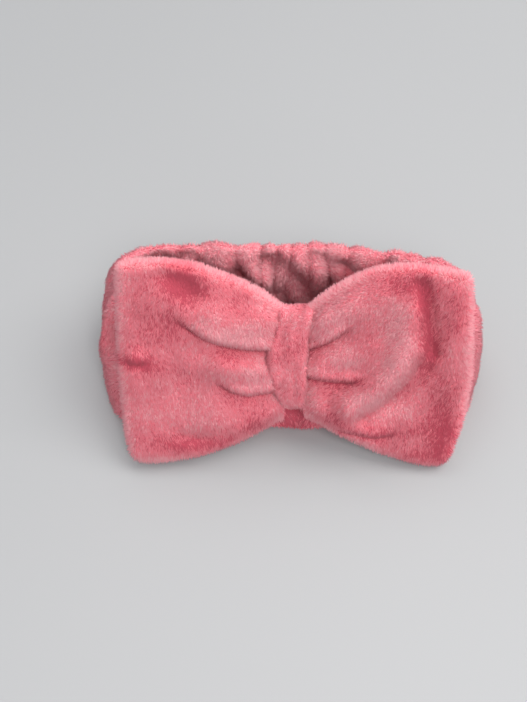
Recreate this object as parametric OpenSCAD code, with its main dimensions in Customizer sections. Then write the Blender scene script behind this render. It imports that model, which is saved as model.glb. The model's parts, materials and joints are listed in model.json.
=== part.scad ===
// Plush spa headband with a large flat bow, standing on its lower edges.
// Millimetres. +Z is up, -Y is the side the bow faces, and the origin is the
// middle of the head opening, level with the edges that the band stands on.

/* [Bow] */
// Width across both wings
bow_w = 182; // [165:1:200]
// Height of a wing, measured up its leaning face
bow_h = 110; // [98:1:120]
// Height of a wing where it leaves the knot
root_h = 58; // [50:1:66]
// Radius of a wing's outer corners
corner_r = 11; // [6:1:16]
// Lean of the bow and of the band's front, from upright
lean = 40; // [32:1:44]

/* [Knot] */
// Width of the cloth loop that wraps the bow's middle
knot_w = 21; // [16:1:28]
// Height of the loop
knot_h = 55; // [48:1:58]
// Front to back depth of the loop
knot_depth = 24; // [22:1:28]
// Height of the loop's middle above the bow's middle
knot_rise = 3; // [0:1:6]

/* [Band] */
// Width of the whole band, without its sides' bulge
band_w = 203; // [190:1:220]
// Room between front and back inner faces, at the foot
opening_depth = 68; // [60:1:90]
// Height of the band at its front
front_h = 48; // [40:1:54]
// Height of the band at its back
back_h = 58; // [50:1:66]
// Rise of the front's lower edge at its middle
front_arch = 9; // [0:1:12]
// Width of the gathered casing at the back
casing_w = 132; // [110:2:138]
// Number of gathers in the casing
gathers = 11; // [7:1:15]

/* [Cloth] */
// Thickness of one layer of plush with its pile
plush_t = 4.6; // [4:0.1:5.2]
// Thickness of the seam thread
thread_d = 0.8; // [0.5:0.1:1]
// Width of the elastic inside the casing
elastic_h = 35; // [25:1:42]

/* [Hidden] */

pink = [0.86, 0.45, 0.50];
deep_pink = [0.78, 0.36, 0.43];
thread_pink = [0.93, 0.62, 0.66];
elastic_white = [0.94, 0.93, 0.91];

// Room between two layers of cloth, for the thread that joins them
layer_gap = 1.2;
// Room inside the casing, for the elastic
casing_gap = 3;
elastic_t = 1.2;
// Air between pieces that move apart
seam_air = 0.4;
// How far the cloth stands proud between two gathers
gather_depth = 1.6;
// How far the band's sides bow outwards at mid height
side_bulge = 2.2;
// How far the sides' top edges lean in
side_tuck = 7;
stitch_len = 4;
stitch_pitch = 6;
// How far seam stitches lie inside an edge
seam_inset = 3.5;

// Layers of the leaning front, counted backwards from the bow's middle plane
bow_back_d = layer_gap / 2 + plush_t;
knot_back_d = knot_depth / 2;
band_front_d = knot_back_d + 1.1;
band_gap_d = band_front_d + plush_t;
band_lining_d = band_gap_d + layer_gap;
band_inner_d = band_lining_d + plush_t;

// Lowest edge of the wings, so that their back faces just clear the floor
bow_foot_s = bow_back_d * tan(lean) + 0.3;
bow_mid_s = bow_foot_s + bow_h / 2;
knot_mid_s = bow_mid_s + knot_rise;

// Level distances are stretched where the cloth leans
lean_stretch = 1 / cos(lean);
front_inner_y = -opening_depth / 2;
bow_y = front_inner_y - band_inner_d * lean_stretch;
back_inner_y = opening_depth / 2;

// The band's path in plan runs midway between its two layers
path_front_y = bow_y + (band_gap_d + layer_gap / 2) * lean_stretch;
path_back_y = back_inner_y + plush_t + casing_gap / 2;
path_x = band_w / 2 - plush_t - layer_gap / 2;
front_corner_r = 27;
back_corner_r = 25;
front_seam_x = path_x - front_corner_r;
casing_x = casing_w / 2;

function mix(a, b, t) = a + (b - a) * t;
function smooth(t) = t * t * (3 - 2 * t);
function unit(t) = min(1, max(0, t));

// ---- placing ----------------------------------------------------------

// Turns a shape drawn in plan as [across, up the slope] into the leaning
// plane that lies d behind the bow's middle
module on_slope(d) {
    translate([0, bow_y, 0]) rotate([90 - lean, 0, 0]) translate([0, 0, -d]) children();
}

module stitch(angle = 0) {
    rotate([0, 90, angle]) cylinder(h = stitch_len, d = thread_d, center = true, $fn = 16);
}

// ---- wings of the bow ---------------------------------------------------

wing_root_x = knot_w / 2 + seam_air;
wing_full_x = bow_w * 0.36;
wing_steps = 12;

// Half the wing's height at a distance from the bow's middle
function wing_half(x) =
    mix(root_h, bow_h, pow(sin(90 * unit((x - wing_root_x) / (wing_full_x - wing_root_x))), 0.75)) / 2;

function wing_upper(inset) = concat(
    [for (i = [0:wing_steps])
        let (x = mix(wing_root_x + inset, wing_full_x, i / wing_steps))
        [x, wing_half(x) - inset]],
    [for (a = [90:-15:0])
        [bow_w / 2 - corner_r + (corner_r - inset) * cos(a),
         bow_h / 2 - corner_r + (corner_r - inset) * sin(a)]]);

function mirrored(points) = [for (i = [len(points) - 1:-1:0]) [points[i][0], -points[i][1]]];

// The outline from the root's top, round the wing, to the root's foot
function wing_outline(inset) = concat(wing_upper(inset), mirrored(wing_upper(inset)));

module wing_panel(d0) {
    on_slope(d0 + plush_t)
        linear_extrude(plush_t) translate([0, bow_mid_s]) polygon(wing_outline(0));
}

// Running stitches round the three free edges, between the two panels
module wing_stitches() {
    line = wing_outline(seam_inset);
    on_slope(0) for (i = [0:len(line) - 2]) {
        step = line[i + 1] - line[i];
        count = floor(norm(step) / stitch_pitch);
        for (k = [1:1:count])
            translate(concat(line[i] + step * (k - 0.5) / count + [0, bow_mid_s], 0))
                stitch(atan2(step[1], step[0]));
    }
}

module right_wing_front_panel() color(pink) wing_panel(-bow_back_d);
module right_wing_back_panel() color(deep_pink) wing_panel(layer_gap / 2);
module right_wing_seam_stitches() color(thread_pink) wing_stitches();
module left_wing_front_panel() mirror([1, 0, 0]) right_wing_front_panel();
module left_wing_back_panel() mirror([1, 0, 0]) right_wing_back_panel();
module left_wing_seam_stitches() mirror([1, 0, 0]) right_wing_seam_stitches();

// ---- middle of the bow ---------------------------------------------------

// A rounded slab seen from its side: half depth, half height
module slab_end(half_depth, half_height) {
    for (s = [-1, 1]) translate([0, s * (half_height - half_depth)]) circle(r = half_depth, $fn = 48);
    square([2 * half_depth, 2 * (half_height - half_depth)], center = true);
}

// Extrudes an outline drawn as [depth, slope height] across the knot
module across_knot(width) {
    translate([0, bow_y, 0]) rotate([-lean, 0, 0]) translate([-width / 2, 0, knot_mid_s])
        rotate([90, 0, 90]) linear_extrude(width) children();
}

waist_half_depth = knot_depth / 2 - plush_t - 1.3;
waist_half_height = knot_h / 2 - plush_t - 1.3;
thread_turns = 3;

module bow_waist() color(deep_pink)
    across_knot(knot_w - 2 * seam_air) slab_end(waist_half_depth, waist_half_height);

module gather_thread() color(thread_pink)
    for (turn = [0:thread_turns - 1])
        translate([(turn - (thread_turns - 1) / 2) * 2 * thread_d, 0, 0]) across_knot(thread_d)
            difference() {
                slab_end(waist_half_depth + 0.15 + thread_d, waist_half_height + 0.15 + thread_d);
                slab_end(waist_half_depth + 0.15, waist_half_height + 0.15);
            }

module knot_wrap() color(pink) across_knot(knot_w) difference() {
    slab_end(knot_depth / 2, knot_h / 2);
    slab_end(knot_depth / 2 - plush_t, knot_h / 2 - plush_t);
}

thread_room_d = knot_back_d + 0.55;

// Closes the loop up the middle of its back
module knot_closing_stitches() color(thread_pink)
    on_slope(thread_room_d) for (k = [-2:2])
        translate([0, knot_mid_s + k * stitch_pitch, 0]) stitch(90);

// Holds the loop to the band
module knot_tack_stitches() color(thread_pink)
    on_slope(thread_room_d) for (side = [-1, 1], k = [-1:1])
        translate([side * knot_w / 3, knot_mid_s + k * 2 * stitch_pitch, 0]) stitch();

// ---- front of the band ---------------------------------------------------

front_half = front_seam_x - seam_air;
front_steps = 16;

// A slab in the leaning plane, cut level at its top and at the floor, whose
// lower edge rises in an arch behind the knot
module front_panel(d0) intersection() {
    foot_s = d0 * tan(lean);
    on_slope(d0 + plush_t) linear_extrude(plush_t) polygon(concat(
        [[front_half, 2 * front_h], [-front_half, 2 * front_h]],
        [for (i = [-front_steps:front_steps])
            [front_half * i / front_steps, foot_s + front_arch * pow(cos(90 * i / front_steps), 2)]]));
    translate([-band_w, -band_w, 0]) cube([2 * band_w, 2 * band_w, front_h]);
}

module front_outer_panel() color(pink) front_panel(band_front_d);
module front_lining_panel() color(deep_pink) front_panel(band_lining_d);

// A row of stitches between the front's two layers, at a height z that
// rises by arch at the middle
module front_stitch_row(z, arch) {
    count = floor(2 * front_seam_x / stitch_pitch) - 1;
    for (k = [0:count - 1]) {
        x = (k - (count - 1) / 2) * stitch_pitch;
        rise = z + arch * pow(cos(90 * x / front_half), 2);
        translate([x, path_front_y + rise * tan(lean), rise]) stitch();
    }
}

module band_top_seam_stitches() color(thread_pink) front_stitch_row(front_h - seam_inset, 0);
module band_bottom_seam_stitches() color(thread_pink) front_stitch_row(seam_inset, front_arch);

// ---- sides of the band, which stretch ------------------------------------

// Stations along the path from the front seam to the casing: [x, y, way out]
side_path = concat(
    [for (a = [-90:10:0]) [path_x + front_corner_r * (cos(a) - 1), path_front_y + front_corner_r * (1 + sin(a)), a]],
    [for (i = [1:4]) [path_x, mix(path_front_y + front_corner_r, path_back_y - back_corner_r, i / 5), 0]],
    [for (a = [0:10:90]) [path_x + back_corner_r * (cos(a) - 1), path_back_y + back_corner_r * (sin(a) - 1), a]],
    [[casing_x + seam_air, path_back_y, 90]]);
side_levels = [0, 0.12, 0.3, 0.5, 0.7, 0.88, 1];

// One point of a side: station i, level f, and how far outside the path
// as a share of the layers there (1 is the outer face, 0 the gap's face)
function side_point(i, f, layer, share) =
    let (p = side_path[i],
         back = unit((p[1] - path_front_y) / (path_back_y - path_front_y)),
         slope = 1 - smooth(back),
         stretch = 1 / cos(lean * slope * abs(sin(p[2]))),
         gap = mix(layer_gap, casing_gap, smooth(back)) / 2,
         bulge = (side_bulge * sin(180 * f) - side_tuck * f * f) * sin(180 * back),
         out = layer * (gap + plush_t * share) * stretch + bulge,
         z = f * mix(back_h, front_h, slope))
    [p[0] + out * cos(p[2]), p[1] + out * sin(p[2]) + z * tan(lean) * slope, z];

// One layer of a side: layer is 1 for the outer cloth, -1 for the lining
module side_panel(layer) {
    rings = len(side_path);
    levels = len(side_levels);
    ring = 2 * levels;
    points = [for (i = [0:rings - 1], k = [0:ring - 1])
        k < levels ? side_point(i, side_levels[k], layer, 1)
                   : side_point(i, side_levels[ring - 1 - k], layer, 0)];
    walls = [for (i = [0:rings - 2], k = [0:ring - 1])
        let (a = i * ring + k, b = i * ring + (k + 1) % ring)
        each [[a, b, b + ring], [a, b + ring, a + ring]]];
    ends = [for (k = [0:levels - 2])
        let (a = k, b = k + 1, c = ring - 2 - k, d = ring - 1 - k, far = (rings - 1) * ring)
        each [[a, c, b], [a, d, c], [far + a, far + b, far + c], [far + a, far + c, far + d]]];
    faces = concat(walls, ends);
    polyhedron(points, layer > 0 ? [for (f = faces) [f[0], f[2], f[1]]] : faces, convexity = 6);
}

module right_side_outer_panel() color(pink) side_panel(1);
module right_side_lining_panel() color(deep_pink) side_panel(-1);
module left_side_outer_panel() mirror([1, 0, 0]) right_side_outer_panel();
module left_side_lining_panel() mirror([1, 0, 0]) right_side_lining_panel();

// ---- gathered casing at the back ------------------------------------------

gather_steps = 8;

// One gathered layer in plan: flat face at y0, gathers towards side
module gathered_layer(y0, side) {
    count = gathers * gather_steps;
    linear_extrude(back_h) polygon(concat(
        [[casing_x, y0], [-casing_x, y0]],
        [for (i = [0:count])
            let (swell = (1 - cos(360 * i / gather_steps)) / 2)
            [mix(-casing_x, casing_x, i / count),
             y0 + side * (plush_t - gather_depth * (1 - swell))]]));
}

module back_lining_panel() color(deep_pink) gathered_layer(path_back_y - casing_gap / 2, -1);
module back_outer_panel() color(pink) gathered_layer(path_back_y + casing_gap / 2, 1);

elastic_x = casing_x - 4;

module elastic_strip() color(elastic_white)
    translate([-elastic_x, path_back_y - elastic_t / 2, (back_h - elastic_h) / 2])
        cube([2 * elastic_x, elastic_t, elastic_h]);

module casing_seam_stitches() color(thread_pink) {
    count = floor(casing_w / stitch_pitch) - 1;
    for (z = [seam_inset, back_h - seam_inset], k = [0:count - 1])
        translate([(k - (count - 1) / 2) * stitch_pitch, path_back_y, z]) stitch();
}

// An upright row of stitches inside the casing
module upright_row(x, y, height) {
    count = floor(height / stitch_pitch);
    for (k = [0:count - 1])
        translate([x, y, back_h / 2 + (k - (count - 1) / 2) * stitch_pitch]) rotate([0, 90, 0]) stitch();
}

module right_join_seam_stitches() color(thread_pink)
    upright_row(casing_x - 1.6, path_back_y, back_h - 4 * seam_inset);
module left_join_seam_stitches() mirror([1, 0, 0]) right_join_seam_stitches();

// Two rows that hold one end of the elastic to the lining
module right_elastic_anchor_stitches() color(thread_pink)
    for (row = [1, 2])
        upright_row(elastic_x - 3 * row, path_back_y - casing_gap / 4 - elastic_t / 4, elastic_h - 4);
module left_elastic_anchor_stitches() mirror([1, 0, 0]) right_elastic_anchor_stitches();

front_outer_panel();
front_lining_panel();
left_side_outer_panel();
left_side_lining_panel();
right_side_outer_panel();
right_side_lining_panel();
band_top_seam_stitches();
band_bottom_seam_stitches();
bow_waist();
gather_thread();
knot_wrap();
knot_closing_stitches();
knot_tack_stitches();
back_outer_panel();
back_lining_panel();
elastic_strip();
casing_seam_stitches();
left_join_seam_stitches();
right_join_seam_stitches();
left_elastic_anchor_stitches();
right_elastic_anchor_stitches();
left_wing_front_panel();
left_wing_back_panel();
left_wing_seam_stitches();
right_wing_front_panel();
right_wing_back_panel();
right_wing_seam_stitches();
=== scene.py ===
import bpy
import json
import math
import numpy as np
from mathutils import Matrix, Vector


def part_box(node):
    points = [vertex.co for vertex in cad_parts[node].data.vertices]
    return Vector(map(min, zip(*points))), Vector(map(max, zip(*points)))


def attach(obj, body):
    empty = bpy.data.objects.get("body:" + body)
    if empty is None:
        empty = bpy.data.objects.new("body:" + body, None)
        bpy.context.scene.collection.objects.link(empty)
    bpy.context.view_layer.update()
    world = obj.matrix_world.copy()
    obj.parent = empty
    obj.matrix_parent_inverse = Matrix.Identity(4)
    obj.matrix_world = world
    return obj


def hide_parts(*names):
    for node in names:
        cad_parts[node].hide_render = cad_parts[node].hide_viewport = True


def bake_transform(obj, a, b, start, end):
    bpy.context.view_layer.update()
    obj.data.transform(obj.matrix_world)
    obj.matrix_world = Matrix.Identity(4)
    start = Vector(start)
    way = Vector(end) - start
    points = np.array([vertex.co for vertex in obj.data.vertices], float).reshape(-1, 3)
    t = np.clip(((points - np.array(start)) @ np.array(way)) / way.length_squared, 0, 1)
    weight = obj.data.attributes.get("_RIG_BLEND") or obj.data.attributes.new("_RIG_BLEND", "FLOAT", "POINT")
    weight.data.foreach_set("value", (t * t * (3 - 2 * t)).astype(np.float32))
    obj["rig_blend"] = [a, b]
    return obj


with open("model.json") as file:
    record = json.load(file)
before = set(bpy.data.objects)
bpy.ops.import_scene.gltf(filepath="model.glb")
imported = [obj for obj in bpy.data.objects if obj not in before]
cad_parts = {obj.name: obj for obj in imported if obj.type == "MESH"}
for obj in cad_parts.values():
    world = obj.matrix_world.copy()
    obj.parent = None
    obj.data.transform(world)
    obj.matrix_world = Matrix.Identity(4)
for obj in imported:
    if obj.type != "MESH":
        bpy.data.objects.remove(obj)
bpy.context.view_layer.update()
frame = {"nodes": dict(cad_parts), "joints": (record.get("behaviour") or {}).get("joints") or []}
mm = 0.001

# camera and studio

camera = {"elevation": 54.0, "distance": 0.510, "lens": 49.2, "target": (-0.0158, -0.0104, 0.0331)}


def makeCamera():
    data = bpy.data.cameras.new("camera")
    data.lens = camera["lens"]
    data.clip_start = 0.01
    seat = bpy.data.objects.new("camera", data)
    bpy.context.scene.collection.objects.link(seat)
    tilt = math.radians(camera["elevation"])
    back = Vector((0, -math.cos(tilt), math.sin(tilt)))
    seat.location = Vector(camera["target"]) + back * camera["distance"]
    seat.rotation_euler = (-back).to_track_quat("-Z", "Y").to_euler()
    bpy.context.scene.camera = seat


lamps = [  # name, where it stands, width, power in watts, colour
    ("keyLamp", (0.75, 0.05, 1.20), 1.1, 12.0, (1.0, 0.985, 0.97)),
    ("frontLamp", (0.16, -0.84, 1.12), 0.7, 10.3, (0.99, 0.99, 1.0)),
    ("backLamp", (-0.15, 0.80, 1.25), 0.9, 5.0, (1.0, 1.0, 1.0)),
]
sky = {"colour": (0.93, 0.96, 1.0, 1), "strength": 0.60}


def makeLamps():
    for name, place, size, power, colour in lamps:
        data = bpy.data.lights.new(name, "AREA")
        data.shape = "DISK"
        data.size = size
        data.energy = power
        data.color = colour
        lamp = bpy.data.objects.new(name, data)
        bpy.context.scene.collection.objects.link(lamp)
        lamp.location = place
        lamp.rotation_euler = Vector(place).to_track_quat("Z", "Y").to_euler()
    world = bpy.data.worlds.new("softSky")
    world.use_nodes = True
    background = world.node_tree.nodes["Background"]
    background.inputs["Color"].default_value = sky["colour"]
    background.inputs["Strength"].default_value = sky["strength"]
    bpy.context.scene.world = world
    bpy.context.scene.view_settings.view_transform = "Standard"


makeCamera()
makeLamps()
print("stage: camera and lamps")

# node helpers


def pick(node, name):  # the output in use of that name
    return next(o for o in node.outputs if o.name == name and o.enabled)


class Wire:  # one socket, so that node maths reads as plain expressions
    def __init__(self, graph, socket):
        self.graph, self.socket = graph, socket

    def join(self, kind, first, second):
        node = self.graph.node("ShaderNodeMath", {"operation": kind}, {0: first, 1: second})
        return Wire(self.graph, node.outputs[0])

    def __add__(self, other): return self.join("ADD", self, other)
    def __radd__(self, other): return self.join("ADD", other, self)
    def __sub__(self, other): return self.join("SUBTRACT", self, other)
    def __rsub__(self, other): return self.join("SUBTRACT", other, self)
    def __mul__(self, other): return self.join("MULTIPLY", self, other)
    def __rmul__(self, other): return self.join("MULTIPLY", other, self)
    def __pow__(self, other): return self.join("POWER", self, other)
    def floor(self): return self.join("FLOOR", self, 0.0)


class Graph:  # makes nodes: settings first, then the values or links of their sockets
    def __init__(self, tree):
        self.tree = tree

    def node(self, kind, settings=None, inputs=None):
        node = self.tree.nodes.new(kind)
        for key, value in (settings or {}).items():
            if key == "stops":
                ramp = node.color_ramp
                while len(ramp.elements) < len(value):
                    ramp.elements.new(0.5)
                for element, (place, colour) in zip(ramp.elements, value):
                    element.position = place
                    element.color = colour
            else:
                setattr(node, key, value)
        for key, value in (inputs or {}).items():
            self.feed(self.socketOf(node, key), value)
        return node

    def socketOf(self, node, key):
        if isinstance(key, int):
            return node.inputs[key]
        return next(s for s in node.inputs if s.name == key and s.enabled)

    def feed(self, socket, value):
        if isinstance(value, Wire):
            value = value.socket
        if isinstance(value, bpy.types.NodeSocket):
            self.tree.links.new(value, socket)
        else:
            socket.default_value = value

    def wire(self, node, name):
        return Wire(self, pick(node, name))


# materials

pinks = {  # linear colours, from the depth of the pile to its tips
    "root": (0.55, 0.075, 0.110),
    "deep": (0.70, 0.115, 0.165),
    "main": (0.92, 0.238, 0.290),
    "soft": (0.94, 0.300, 0.350),
    "tip": (0.96, 0.430, 0.470),
}
clothFinish = {
    "roughness": 0.95, "sheen": 0.5, "sheenRoughness": 0.5, "gloss": 0.12,
    "grain": 900.0, "brush": 28.0, "loops": 1100.0, "relief": 0.6 * mm,
}
threadFinish = {"ply": 900.0, "relief": 0.2 * mm, "roughness": 0.55}
elasticFinish = {
    "ribs": 220.0, "cross": 160.0, "relief": 0.4 * mm, "roughness": 0.8,
    # the ribs' colour: painted shade in their valleys, painted highlight on their crests
    "valley": (0.66, 0.64, 0.60), "crest": (0.88, 0.87, 0.84),
}


def newMaterial(name):
    material = bpy.data.materials.new(name)
    material.use_nodes = True
    graph = Graph(material.node_tree)
    shader = material.node_tree.nodes["Principled BSDF"]
    return material, graph, shader


def softShader(shader, sheen, tint):
    shader.inputs["Roughness"].default_value = clothFinish["roughness"]
    shader.inputs["Specular IOR Level"].default_value = clothFinish["gloss"]
    shader.inputs["Sheen Weight"].default_value = sheen
    shader.inputs["Sheen Roughness"].default_value = clothFinish["sheenRoughness"]
    shader.inputs["Sheen Tint"].default_value = (*tint, 1)


# the knitted ground under the pile: brushed patches, fine grain and loops
def groundMaterial(name, low, high):
    material, graph, shader = newMaterial(name)
    place = graph.node("ShaderNodeTexCoord").outputs["Object"]
    patches = graph.node("ShaderNodeTexNoise", {}, {
        "Vector": place, "Scale": clothFinish["brush"], "Detail": 2.0})
    grain = graph.node("ShaderNodeTexNoise", {}, {
        "Vector": place, "Scale": clothFinish["grain"], "Detail": 3.0})
    loops = graph.node("ShaderNodeTexVoronoi", {}, {"Vector": place, "Scale": clothFinish["loops"]})
    tone = graph.wire(patches, "Fac") * 0.6 + graph.wire(grain, "Fac") * 0.4
    stops = [(0.35, (*low, 1)), (0.68, (*high, 1))]
    ramp = graph.node("ShaderNodeValToRGB", {"stops": stops}, {"Fac": tone})
    graph.feed(shader.inputs["Base Color"], pick(ramp, "Color"))
    height = graph.wire(grain, "Fac") * 0.6 + graph.wire(loops, "Distance") * 0.5
    bump = graph.node("ShaderNodeBump", {}, {
        "Strength": 0.5, "Distance": clothFinish["relief"], "Height": height})
    graph.feed(shader.inputs["Normal"], pick(bump, "Normal"))
    softShader(shader, clothFinish["sheen"], pinks["tip"])
    return material


def pileMaterial(name, colour, sheen):
    material, _, shader = newMaterial(name)
    shader.inputs["Base Color"].default_value = (*colour, 1)
    softShader(shader, sheen, pinks["tip"])
    return material


# thread: a twisted ply, so its pale and deep bands run aslant: painted highlight on the raised strands and
# painted shade between them
def threadMaterial():
    material, graph, shader = newMaterial("seamThread")
    place = graph.node("ShaderNodeTexCoord").outputs["Object"]
    ply = graph.node("ShaderNodeTexWave", {"bands_direction": "DIAGONAL"}, {
        "Vector": place, "Scale": threadFinish["ply"], "Distortion": 1.5, "Detail": 2.0})
    strand = graph.wire(ply, "Fac")
    stops = [(0.2, (*pinks["deep"], 1)), (0.8, (*pinks["tip"], 1))]
    tone = graph.node("ShaderNodeValToRGB", {"stops": stops}, {"Fac": strand})
    graph.feed(shader.inputs["Base Color"], pick(tone, "Color"))
    bump = graph.node("ShaderNodeBump", {}, {
        "Strength": 0.4, "Distance": threadFinish["relief"], "Height": strand})
    graph.feed(shader.inputs["Normal"], pick(bump, "Normal"))
    shader.inputs["Roughness"].default_value = threadFinish["roughness"]
    return material


# knitted elastic: ribs along its length and short cross ribs
def elasticMaterial():
    material, graph, shader = newMaterial("knitElastic")
    place = graph.node("ShaderNodeTexCoord").outputs["Object"]
    ribs = graph.node("ShaderNodeTexWave", {"bands_direction": "Z"}, {
        "Vector": place, "Scale": elasticFinish["ribs"]})
    cross = graph.node("ShaderNodeTexWave", {"bands_direction": "X"}, {
        "Vector": place, "Scale": elasticFinish["cross"]})
    height = graph.wire(ribs, "Fac") * 0.7 + graph.wire(cross, "Fac") * 0.3
    # painted shade in the ribs' valleys and painted highlight on their crests
    stops = [(0.1, (*elasticFinish["valley"], 1)), (0.9, (*elasticFinish["crest"], 1))]
    tone = graph.node("ShaderNodeValToRGB", {"stops": stops}, {"Fac": height})
    graph.feed(shader.inputs["Base Color"], pick(tone, "Color"))
    bump = graph.node("ShaderNodeBump", {}, {
        "Strength": 0.5, "Distance": elasticFinish["relief"], "Height": height})
    graph.feed(shader.inputs["Normal"], pick(bump, "Normal"))
    shader.inputs["Roughness"].default_value = elasticFinish["roughness"]
    return material


# the ground shows between the tufts: its deep root pink is painted shade under the pile. The lining is the
# same plush with its ground painted paler, as painted light for the dim inside of the loop
plushGround = groundMaterial("plushGround", pinks["root"], pinks["main"])
liningGroundPaintedLight = groundMaterial("liningGroundPaintedLight", pinks["deep"], pinks["soft"])
pileSheen = {"deep": 0.25, "main": 0.4, "soft": 0.55, "tip": 0.9}
pileShades = [pileMaterial("pile_" + key, pinks[key], sheen) for key, sheen in pileSheen.items()]
seamThread = threadMaterial()
knitElastic = elasticMaterial()
print("stage: materials")

# numbers and meshes


def smooth(t):
    t = np.clip(t, 0, 1)
    return t * t * (3 - 2 * t)


def along(points, value):  # a soft line through given (place, height) points
    xs, ys = zip(*points)
    steps = np.linspace(xs[0], xs[-1], 240)
    line = np.interp(steps, xs, ys)
    kernel = np.hanning(31)
    padded = np.pad(line, 15, mode="reflect", reflect_type="odd")
    return np.interp(value, steps, np.convolve(padded, kernel / kernel.sum(), "valid"))


def ripple(points, size, seed, count=14):  # seeded soft noise of about that size, from -1 to 1
    random = np.random.default_rng(seed)
    ways = random.normal(size=(count, points.shape[-1]))
    ways /= np.linalg.norm(ways, axis=1)[:, None]
    rate = random.uniform(0.6, 1.7, count) * 2 * math.pi / size
    shift = random.uniform(0, 2 * math.pi, count)
    return np.sin(points @ (ways * rate[:, None]).T + shift).mean(-1) * math.sqrt(2 * count) / 2


def crowded(count, push):  # a row of steps from -1 to 1 that crowd towards both ends
    w = np.linspace(-1, 1, count)[None]
    return w * (1 + push - push * w * w)


def lineDistance(x, s, path):  # distance to a bent line, side of it, and how far along it
    best = np.full(x.shape, 1e9)
    side = np.zeros(x.shape)
    share = np.zeros(x.shape)
    path = np.array(path, float)
    spans = np.linalg.norm(np.diff(path, axis=0), axis=1)
    total, run = spans.sum(), 0.0
    for (ax, ay), (bx, by), span in zip(path[:-1], path[1:], spans):
        ux, uy = (bx - ax) / span, (by - ay) / span
        t = np.clip((x - ax) * ux + (s - ay) * uy, 0, span)
        dx, dy = x - ax - t * ux, s - ay - t * uy
        distance = np.hypot(dx, dy)
        closer = distance < best
        best = np.where(closer, distance, best)
        side = np.where(closer, np.sign(ux * dy - uy * dx), side)
        share = np.where(closer, (run + t) / total, share)
        run += span
    return best, side, share


def newPiece(name, points, faces, material):  # a smooth mesh of one material, in place
    mesh = bpy.data.meshes.new(name)
    mesh.from_pydata(points, [], faces)
    mesh.polygons.foreach_set("use_smooth", np.ones(len(mesh.polygons), bool))
    mesh.materials.append(material)
    return linkPiece(name, mesh)


def linkPiece(name, mesh):
    piece = bpy.data.objects.new(name, mesh)
    bpy.context.scene.collection.objects.link(piece)
    return piece


def gridFaces(rows, columns, first, flip):
    a = first + np.arange(rows - 1)[:, None] * columns + np.arange(columns - 1)[None]
    quads = np.stack([a, a + 1, a + columns + 1, a + columns], -1).reshape(-1, 4)
    return quads[:, ::-1] if flip else quads


# a closed sheet of cloth from the grid of its outer face and that of its inner face
def clothShell(name, outer, inner, pile, comb, nap, material):
    rows, columns = outer.shape[:2]
    count = rows * columns
    points = np.concatenate([outer.reshape(-1, 3), inner.reshape(-1, 3)])
    ring = np.concatenate([
        np.arange(columns), np.arange(1, rows) * columns + columns - 1,
        (rows - 1) * columns + np.arange(columns - 2, -1, -1), np.arange(rows - 2, 0, -1) * columns])
    after = np.roll(ring, -1)
    edge = np.stack([ring, ring + count, after + count, after], -1)
    faces = np.concatenate([gridFaces(rows, columns, 0, False), gridFaces(rows, columns, count, True), edge])
    return clothMesh(name, points, faces, pile, comb, nap, material, count)


def clothMesh(name, points, faces, pile, comb, nap, material, outerCount):
    corners = points[faces]
    volume = np.einsum("ij,ij->i", corners[:, 0], np.cross(corners[:, 1], corners[:, 2])).sum()
    volume += np.einsum("ij,ij->i", corners[:, 0], np.cross(corners[:, 2], corners[:, 3])).sum()
    if volume < 0:
        faces = faces[:, ::-1]
    piece = newPiece(name, points.tolist(), faces.tolist(), material)
    mesh = piece.data
    cover = np.zeros(len(points), np.float32)
    cover[:outerCount] = pile.ravel()
    ways = np.zeros((len(points), 3), np.float32)
    ways[:outerCount] = comb.reshape(-1, 3)
    tone = np.zeros(len(points), np.float32)
    tone[:outerCount] = nap.ravel()
    mesh.attributes.new("pile", "FLOAT", "POINT").data.foreach_set("value", cover)
    # the tone attribute holds random and brushed tone together with painted highlight and painted shade; it
    # picks each tuft's shade
    mesh.attributes.new("nap", "FLOAT", "POINT").data.foreach_set("value", tone)
    mesh.attributes.new("comb", "FLOAT_VECTOR", "POINT").data.foreach_set("vector", ways.ravel())
    return piece


# the pile


# how unevenly the pile takes its shades: noise scales per metre, then how many shades each spans
brushing = {"patches": 42.0, "streaks": 420.0, "patchDepth": 1.8, "streakDepth": 2.8, "chance": 0.9}


def newTree(name, kinds):  # an empty tree with one input for each size
    tree = bpy.data.node_groups.new(name, "GeometryNodeTree")
    face = tree.interface
    face.new_socket("Geometry", in_out="INPUT", socket_type="NodeSocketGeometry")
    face.new_socket("Geometry", in_out="OUTPUT", socket_type="NodeSocketGeometry")
    for size, kind in kinds.items():
        face.new_socket(size, in_out="INPUT", socket_type="NodeSocket" + kind)
    graph = Graph(tree)
    return tree, graph, graph.node("NodeGroupInput")


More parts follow.
